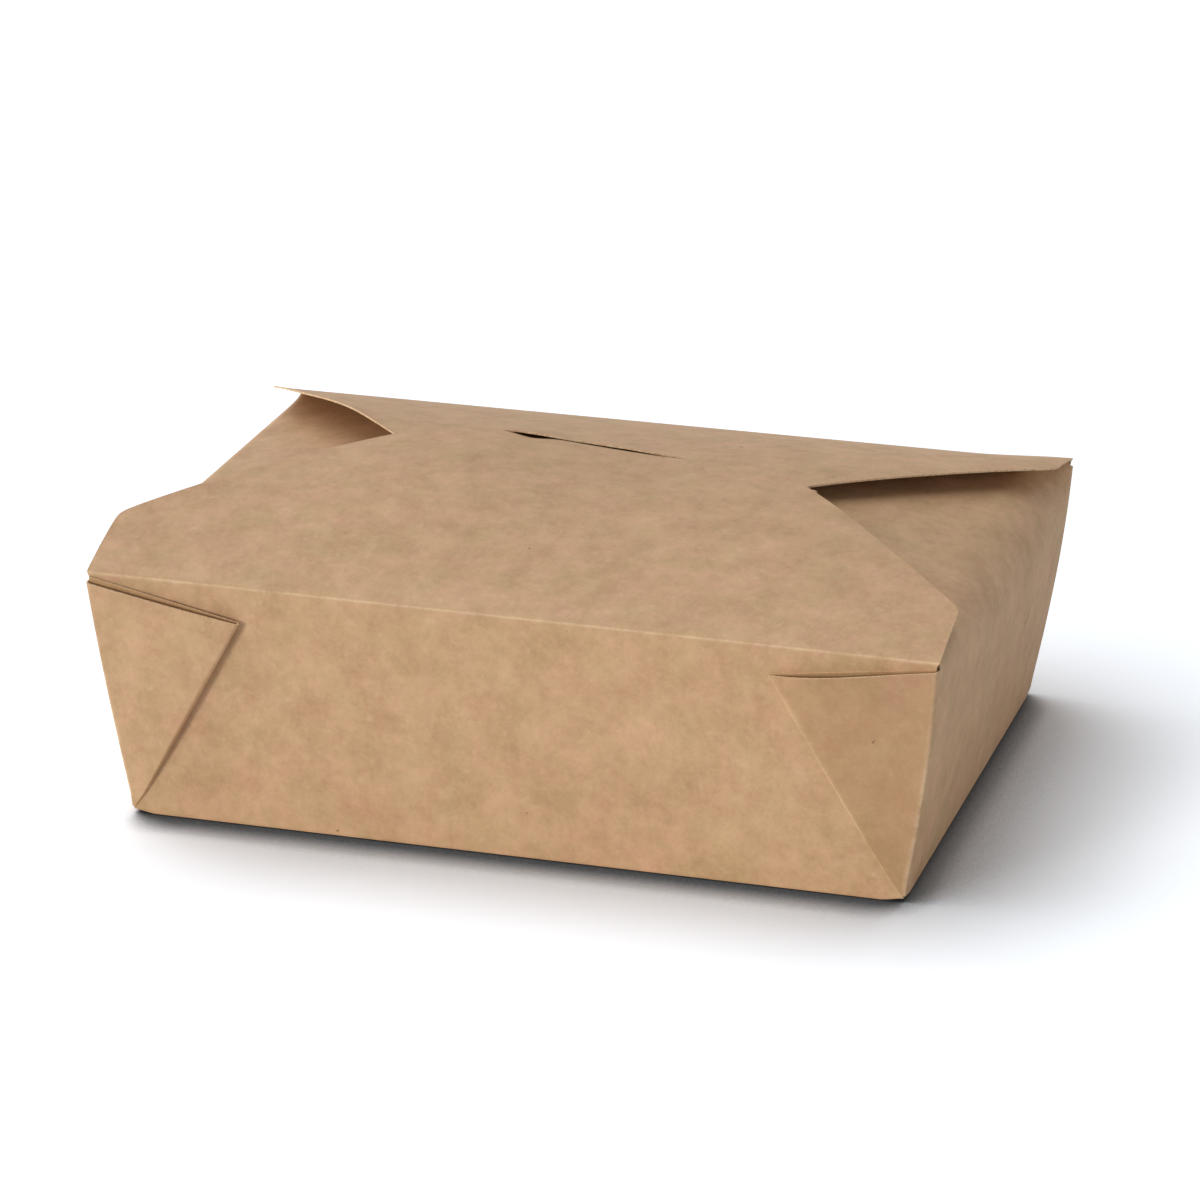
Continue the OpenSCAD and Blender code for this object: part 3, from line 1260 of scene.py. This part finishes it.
        webs = [padded(part) for part in (front, front_bend, back_bend[:, ::-1], back[:, ::-1])]
        points = np.concatenate([*webs[:2], wall, *webs[2:]], axis=1)
        rows, columns = points.shape[:2]
        cells = np.zeros((rows - 1, columns - 1), bool)
        cells[below : below + self.web_rows - 1] = True
        first = front.shape[1] + front_bend.shape[1]
        cells[:, first : first + wall.shape[1] - 1] = True
        wear_and_painted_light = self.fold_wear_and_painted_light(points[..., 2] / s.crease_z, front.shape[1])
        points = points * np.array([float(self.side.value), 1.0, 1.0])
        return BoardGrid(s.settle(points), cells, wear_and_painted_light, flip=self.side is Side.LEFT)

    def build(self) -> None:
        """Makes the sheet's mesh on the carton's body."""
        name = f"{self.side.name.lower()}_wall_webs_and_flap"
        piece = board_object(name, self.middle(), self.sizes.board)
        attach(piece, Body.CARTON.value)
        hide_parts("carton")
        self.pieces.append(piece)


@dataclass
class FrontFlap(BoardPart):
    """The front flap, its tongue, and the soft crease that it swings on.

    Attributes:
        sizes: Sizes of the carton.
        roof: Curve that the flap lies on.
        ear: Length of the straight ear beside the crease.
        ear_round: Rounding where the ear turns into the slanted edge.
        ear_zone: Length on either side of that turn that is drawn with close rows.
        ear_draw: How far the warp draws both ears to the left.
        draw_from: Distance along X at which that starts.
        draw_to: Distance along X at which it is full.
        tip_w: Width of the flap's far edge.
        sag: How far the far edge sags at one place left of the middle.
        sag_x: Place of that sag along X.
        sag_w: Width of the sag.
        sag_fade: Distance over which it fades from the far edge.
        tongue_w: Width of the tongue.
        tongue_r: Radius of the tongue's bend.
        tongue_rows: Drops of the tongue's straight rows.
        nick_y: Place of the torn nick on the right slanted edge, across the carton.
        nick_w: Half the length of the nick.
        nick_out: How far its fibre stands out.
        root_wear: Wear of the flap's first rows.
        root_worn: Width of that wear, in rows.
        crease_wear: Wear of the crease's ridge.
        crease_worn: Width of that ridge, as a share of the bend.
        flap_steps: Steps from the crease over the ear and the nick to the far edge.
        across_steps: Steps left of the tongue, along it and right of it.
        tongue_points: Rows round the tongue's bend, with the first.
        crease_rows: Rows over the crease.
        crease_columns: Columns along the crease.
    """

    sizes: CartonSizes
    roof: RoofLayer
    ear: float = 24.0
    ear_round: float = 1.0
    ear_zone: float = 4.0
    ear_draw: float = 1.5
    draw_from: float = 60.0
    draw_to: float = 107.0
    tip_w: float = 86.0
    sag: float = 0.8
    sag_x: float = -20.8
    sag_w: float = 5.0
    sag_fade: float = 3.0
    tongue_w: float = 59.0
    tongue_r: float = 0.725
    tongue_rows: tuple[float, ...] = (1.4, 1.8, 2.2)
    nick_y: float = -1.3
    nick_w: float = 0.8
    nick_out: float = 1.1
    root_wear: float = 0.1
    root_worn: float = 1.0
    crease_wear: float = 0.65
    crease_worn: float = 0.18
    flap_steps: tuple[int, ...] = (12, 10, 24, 3, 3, 7)
    across_steps: tuple[int, ...] = (34, 52, 34)
    tongue_points: int = 7
    crease_rows: int = 13
    crease_columns: int = 121

    @cached_property
    def ear_end(self) -> float:
        """Place across the carton at which the ears end."""
        return -self.sizes.crease_y + self.ear

    def half(self, y: Array) -> Array:
        """Half the flap's width: straight along the ear, then tapering to the far edge.

        Args:
            y: Distances across the carton.

        Returns:
            The half widths.
        """
        s = self.sizes
        slant = (s.top_l - self.tip_w) / 2 / (s.flap_past - self.ear_end)
        return s.top_l / 2 - slant * soft_ramp(y - self.ear_end, self.ear_round)

    def flap_grid(self) -> BoardGrid:
        """The flap's middle surface: the roof's height over its plan, then the tongue.

        Past the far edge the tongue's rows follow a quarter circle down into the slit, over
        the tongue's width only. The nick is a bell curve on the right edge's own column.

        Returns:
            The grid.
        """
        s = self.sizes
        root = -s.crease_y + s.crease_reach
        ear = (self.ear_end - self.ear_zone, self.ear_end + self.ear_zone)
        nick = (self.nick_y - self.nick_w, self.nick_y, self.nick_y + self.nick_w)
        y = spans((root, *ear, *nick, s.flap_past), self.flap_steps)
        tongue_share = self.tongue_w / self.tip_w
        u = spans((-1.0, -tongue_share, tongue_share, 1.0), self.across_steps)
        x = u * self.half(y)[:, None]
        yy = np.broadcast_to(y[:, None], x.shape)
        sag = self.sag * bell(x, self.sag_x, self.sag_w) * np.exp((yy - s.flap_past) / self.sag_fade)
        z = self.roof.height(x, yy) - sag
        x = x - self.ear_draw * smooth_step(self.draw_from, self.draw_to, np.abs(x)) * self.roof.fade(yy)
        x[:, -1] += self.nick_out * bell(y, self.nick_y, self.nick_w / 2)
        angle = np.linspace(0, math.pi / 2, self.tongue_points)[1:, None]
        straight = np.array(self.tongue_rows)[:, None]
        drop = np.concatenate([self.tongue_r * (1 - np.cos(angle)), straight])
        ahead = np.concatenate([self.tongue_r * np.sin(angle), np.full_like(straight, self.tongue_r)])
        tongue_x = x[-1:] * np.ones_like(drop)
        tongue_y = s.flap_past + ahead * np.ones_like(u)
        tongue = np.stack([tongue_x, tongue_y, z[-1:] - drop], axis=-1)
        points = np.concatenate([np.stack([x, yy, z], axis=-1), tongue])
        cells = np.ones((len(points) - 1, len(u) - 1), bool)
        middle_u = (u[1:] + u[:-1]) / 2
        cells[len(y) - 1 :] = np.abs(middle_u) < tongue_share
        rows = np.arange(len(points))[:, None]
        wear_and_painted_light = self.root_wear * bell(rows, 0, self.root_worn) * np.ones_like(points[..., 0])
        return BoardGrid(s.settle(points), cells, wear_and_painted_light)

    def crease_grid(self) -> BoardGrid:
        """The crease's middle surface: a quadratic bend from the front wall over into the flap.

        Returns:
            The grid.
        """
        s = self.sizes
        u = np.linspace(-1, 1, self.crease_columns)
        slope = s.long_slope - s.crease_reach
        low_half = float(s.wall_half(slope))
        y_end = -s.crease_y + s.crease_reach
        share = np.linspace(0, 1, self.crease_rows)[:, None]
        high_x = u * s.top_l / 2
        start = s.on_front_wall(u * low_half, np.float64(slope), np.float64(0))
        corner = s.on_front_wall(high_x, np.float64(s.long_slope), np.float64(0))
        end = np.stack([high_x, np.full_like(u, y_end), self.roof.height(high_x, y_end)], axis=-1)
        points = quadratic(start[None], corner[None], end[None], share[..., None])
        cells = np.ones((len(share) - 1, len(u) - 1), bool)
        wear_and_painted_light = self.crease_wear * bell(share, 0.5, self.crease_worn) * np.ones_like(u)
        return BoardGrid(s.settle(points), cells, wear_and_painted_light)

    def build(self) -> None:
        """Makes the flap on its own body, and the crease between the front wall and the flap, on no body."""
        board = self.sizes.board
        flap = board_object("front_flap_and_tongue", self.flap_grid(), board)
        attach(flap, Body.FRONT_FLAP.value)
        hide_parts("front_flap")
        grid = self.crease_grid()
        crease = board_object("front_crease", grid, board)
        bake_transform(crease)
        self.pieces += [flap, crease]


@dataclass(frozen=True)
class Lamp:
    """A wide soft lamp far away.

    Attributes:
        name: Name of the lamp.
        strength: Its strength.
        shines_from: Direction that it shines from.
        spread: Its spread in degrees.
        tint: Its colour.
    """

    name: str
    strength: float
    shines_from: tuple[float, float, float]
    spread: float
    tint: tuple[float, float, float] = (1.0, 1.0, 1.0)


@dataclass(frozen=True)
class ContactShade:
    """Painted shadow on the floor beside the carton, the darkening that a plain floor under soft light shows.

    Attributes:
        reach_mm: How far from the carton it reaches.
        full: Share of open sky below which the floor is darkest.
        clear: Share of open sky above which it is not darkened.
        power: Power of the share between them, below 1 for a shade that fades slowly.
        lean: Direction towards the light that the carton keeps off.
    """

    reach_mm: float
    full: float
    clear: float
    power: float
    lean: tuple[float, float, float]


@dataclass
class Studio:
    """White floor, soft light and the camera at the photograph's angle.

    Attributes:
        camera_at: Place of the camera, in metres.
        azimuth: Angle of the camera round the carton from its front, in degrees.
        elevation: Its angle above the floor.
        roll: Its turn about its own axis.
        lens: Its focal length, in millimetres.
        sensor: Width of its sensor, in millimetres.
        view_end: Distance to which it sees, in metres.
        ambient: Strength of the surround on matt surfaces.
        lamps: The lamps.
        front_sheen: Strength of the surround in front of the carton, as glossy surfaces see it.
        sheen_span: Depths of a direction between which it grows to the white behind.
        floor_tint: Colour of the lit floor.
        floor_gain: How much brighter than that the camera sees it, so that it is white.
        floor_dark: Colour of the floor at its darkest, in the painted shadow beside the carton.
        floor_glow: Share of its colour that the floor shows the camera without light.
        floor_bounce: Share of light that it gives back to the carton.
        shades: How it darkens beside the carton.
        shade_samples: Rays for each of these.
        floor_half: Half the floor's width, in metres.
    """

    camera_at: tuple[float, float, float] = (0.3450, -1.1351, 0.4881)
    azimuth: float = 16.851
    elevation: float = 20.652
    roll: float = -0.125
    lens: float = 149.96
    sensor: float = 36.0
    view_end: float = 50.0
    ambient: float = 0.22
    lamps: tuple[Lamp, ...] = (
        Lamp("overhead", 1.72, (-0.54, -0.04, 0.84), 85.0),
        Lamp("front", 2.06, (-0.56, -0.83, 0.045), 20.0, (1.0, 0.97, 0.93)),
        Lamp("right", 0.42, (0.96, -0.2, 0.16), 30.0, (0.92, 0.98, 1.04)),
    )
    front_sheen: float = 0.15
    sheen_span: tuple[float, float] = (-0.2, 0.4)
    floor_tint: str = "#F4F9FF"
    floor_gain: float = 1.61
    floor_dark: str = "#3C454D"
    floor_glow: float = 0.02
    floor_bounce: float = 0.92
    shades: tuple[ContactShade, ...] = (
        ContactShade(60.0, 0.26, 0.92, 0.45, (-0.62, 0.58, 0.52)),
        ContactShade(14.0, 0.42, 0.75, 1.0, (-0.3, 0.8, 0.52)),
    )
    shade_samples: int = 8
    floor_half: float = 6.0

    def camera(self) -> None:
        """Camera that looks along the negative of its back vector, turned by a small roll."""
        az, el, roll = (math.radians(a) for a in (self.azimuth, self.elevation, self.roll))
        back = Vector((math.sin(az) * math.cos(el), -math.cos(az) * math.cos(el), math.sin(el)))
        right = Vector((math.cos(az), math.sin(az), 0.0))
        up = back.cross(right)
        right, up = (
            right * math.cos(roll) + up * math.sin(roll),
            up * math.cos(roll) - right * math.sin(roll),
        )
        data = bpy.data.cameras.new("camera")
        data.lens = self.lens
        data.sensor_width = self.sensor
        data.sensor_fit = "HORIZONTAL"
        data.clip_end = self.view_end
        camera = bpy.data.objects.new("camera", data)
        turned = Matrix((right, up, back)).transposed().to_4x4()
        camera.matrix_world = Matrix.Translation(self.camera_at) @ turned
        bpy.context.scene.collection.objects.link(camera)
        bpy.context.scene.camera = camera

    def light(self) -> None:
        """Sets up the lamps."""
        for lamp in self.lamps:
            data = bpy.data.lights.new(lamp.name, "SUN")
            data.energy = lamp.strength
            data.color = lamp.tint
            data.angle = math.radians(lamp.spread)
            shown = bpy.data.objects.new(lamp.name, data)
            shown.rotation_euler = Vector(lamp.shines_from).to_track_quat("Z", "Y").to_euler()
            bpy.context.scene.collection.objects.link(shown)

    def surround(self) -> None:
        """A surround that is white to the camera, dim on matt surfaces, and for sheen white behind only."""
        world = bpy.data.worlds.new("surround")
        world.use_nodes = True
        tree = world.node_tree
        tree.nodes.clear()
        path = add_node(tree, "ShaderNodeLightPath").outputs
        way = add_node(tree, "ShaderNodeTexCoord").outputs["Generated"]
        depth = add_node(tree, "ShaderNodeSeparateXYZ", {0: way}).outputs["Y"]
        near, far = self.sheen_span
        span = {"Value": depth, "From Min": near, "From Max": far, "To Min": self.front_sheen, "To Max": 1.0}
        sheen = add_node(tree, "ShaderNodeMapRange", span).outputs[0]
        glossy = {"Value": path["Is Glossy Ray"], "To Min": self.ambient, "To Max": sheen}
        felt = add_node(tree, "ShaderNodeMapRange", glossy).outputs[0]
        rays = {0: path["Is Camera Ray"], 1: path["Is Transmission Ray"]}
        seen = add_node(tree, "ShaderNodeMath", rays, operation="MAXIMUM").outputs[0]
        shown = add_node(tree, "ShaderNodeMapRange", {"Value": seen, "To Min": felt, "To Max": 1.0})
        white = {"Color": (1, 1, 1, 1), "Strength": shown.outputs[0]}
        shade = add_node(tree, "ShaderNodeBackground", white)
        add_node(tree, "ShaderNodeOutputWorld", {"Surface": shade.outputs[0]})
        bpy.context.scene.world = world

    def floor_material(self) -> bpy.types.Material:
        """White paper floor, brightened for the camera alone and darkened beside the carton by a painted
        shadow.

        Returns:
            The material.
        """
        material = empty_material("white_paper_floor")
        tree = material.node_tree
        open_share: Any = 1.0
        for shade in self.shades:
            # The occlusion node uses its normal input only when something is linked to it
            lean = add_node(tree, "ShaderNodeCombineXYZ", dict(enumerate(shade.lean))).outputs[0]
            around = {"Distance": shade.reach_mm * MM, "Normal": lean}
            sky = add_node(tree, "ShaderNodeAmbientOcclusion", around, samples=self.shade_samples)
            span = {"Value": sky.outputs["AO"], "From Min": shade.full, "From Max": shade.clear}
            share = add_node(tree, "ShaderNodeMapRange", span).outputs[0]
            fade = add_node(tree, "ShaderNodeMath", {0: share, 1: shade.power}, operation="POWER").outputs[0]
            both = {0: fade, 1: open_share}
            open_share = add_node(tree, "ShaderNodeMath", both, operation="MULTIPLY").outputs[0]
        # The occlusion shares mix the floor's colour towards dark: a painted shadow beside the carton
        lit = (*(c * self.floor_gain for c in linear(self.floor_tint)[:3]), 1.0)
        inputs = {"Factor": open_share, 6: linear(self.floor_dark), 7: lit}
        colour = add_node(tree, "ShaderNodeMix", inputs, data_type="RGBA").outputs[2]
        matte = add_node(tree, "ShaderNodeBsdfDiffuse", {"Color": colour}).outputs[0]
        glow = add_node(tree, "ShaderNodeEmission", {"Color": colour, "Strength": self.floor_glow}).outputs[0]
        shown = add_node(tree, "ShaderNodeAddShader", {0: matte, 1: glow}).outputs[0]
        plain = (self.floor_bounce, self.floor_bounce, self.floor_bounce, 1.0)
        bounce = add_node(tree, "ShaderNodeBsdfDiffuse", {"Color": plain}).outputs[0]
        camera_ray = add_node(tree, "ShaderNodeLightPath").outputs["Is Camera Ray"]
        seen = add_node(tree, "ShaderNodeMixShader", {0: camera_ray, 1: bounce, 2: shown})
        add_node(tree, "ShaderNodeOutputMaterial", {"Surface": seen.outputs[0]})
        return material

    def floor(self) -> None:
        """A flat white floor at the level that the carton stands on."""
        mesh = bpy.data.meshes.new("floor")
        half = self.floor_half
        corners = [(-half, -half, 0), (half, -half, 0), (half, half, 0), (-half, half, 0)]
        mesh.from_pydata(corners, [], [(0, 1, 2, 3)])
        mesh.materials.append(self.floor_material())
        floor = bpy.data.objects.new("floor", mesh)
        bpy.context.scene.collection.objects.link(floor)

    def build(self) -> None:
        """Sets up the camera, the light and the floor."""
        bpy.context.scene.view_settings.view_transform = "Standard"
        self.camera()
        self.light()
        self.surround()
        self.floor()


def main() -> None:
    """Loads the frame, builds each piece of the carton round it and sets up the studio."""
    logging.basicConfig(level=logging.INFO)
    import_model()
    inside = KraftBoard(
        "kraft_board_inside",
        deep="#A67C52",
        light="#D6AE82",
        rosy="#C89870",
        olive="#BA9A68",
        pale="#D8B48C",
        rubbed_and_highlight="#D8B48C",
        roughness=0.45,
    )
    finishes = Finishes(KraftBoard().material(), inside.material(), CutEdge().material())
    sizes = CartonSizes()
    left_web = WebFit(
        inner_drop=0.8,
        outer_drop=1.9,
        tip_drop=8.3,
        tip_in=38.9,
        inner_out=1.3,
        corner_out=1.9,
        tip_out=2.6,
        bow=0.4,
    )
    right_web = WebFit(
        inner_drop=1.5,
        outer_drop=1.8,
        tip_drop=7.1,
        tip_in=40.6,
        inner_out=0.5,
        corner_out=1.4,
        tip_out=1.1,
        bow=2.0,
        bow_power=2,
    )
    back_web = WebFit()
    parts = (
        LongStrip(sizes, RoofLayer(sizes, sizes.back_rise, BACK_WARP)),
        # The left web's rolled fold is darkened along it as painted shade
        SideSheet(sizes, Side.LEFT, left_web, back_web, tip_z=69.5, bulge=0.5, roll_wear_and_painted_light=-0.6),
        SideSheet(
            sizes,
            Side.RIGHT,
            right_web,
            back_web,
            fold_r=13.0,
            tip_z=70.4,
            flap_crown=1.6,
            bulge=1.1,
            # The right web's rolled fold is rubbed pale, partly a painted highlight
            roll_wear_and_painted_light=0.6,
            web_tone=0.33,
        ),
        FrontFlap(sizes, RoofLayer(sizes, sizes.roof_rise, FRONT_WARP)),
    )
    for part in parts:
        part.build()
        part.dress(finishes)
    Studio().build()


if __name__ == "__main__":
    main()
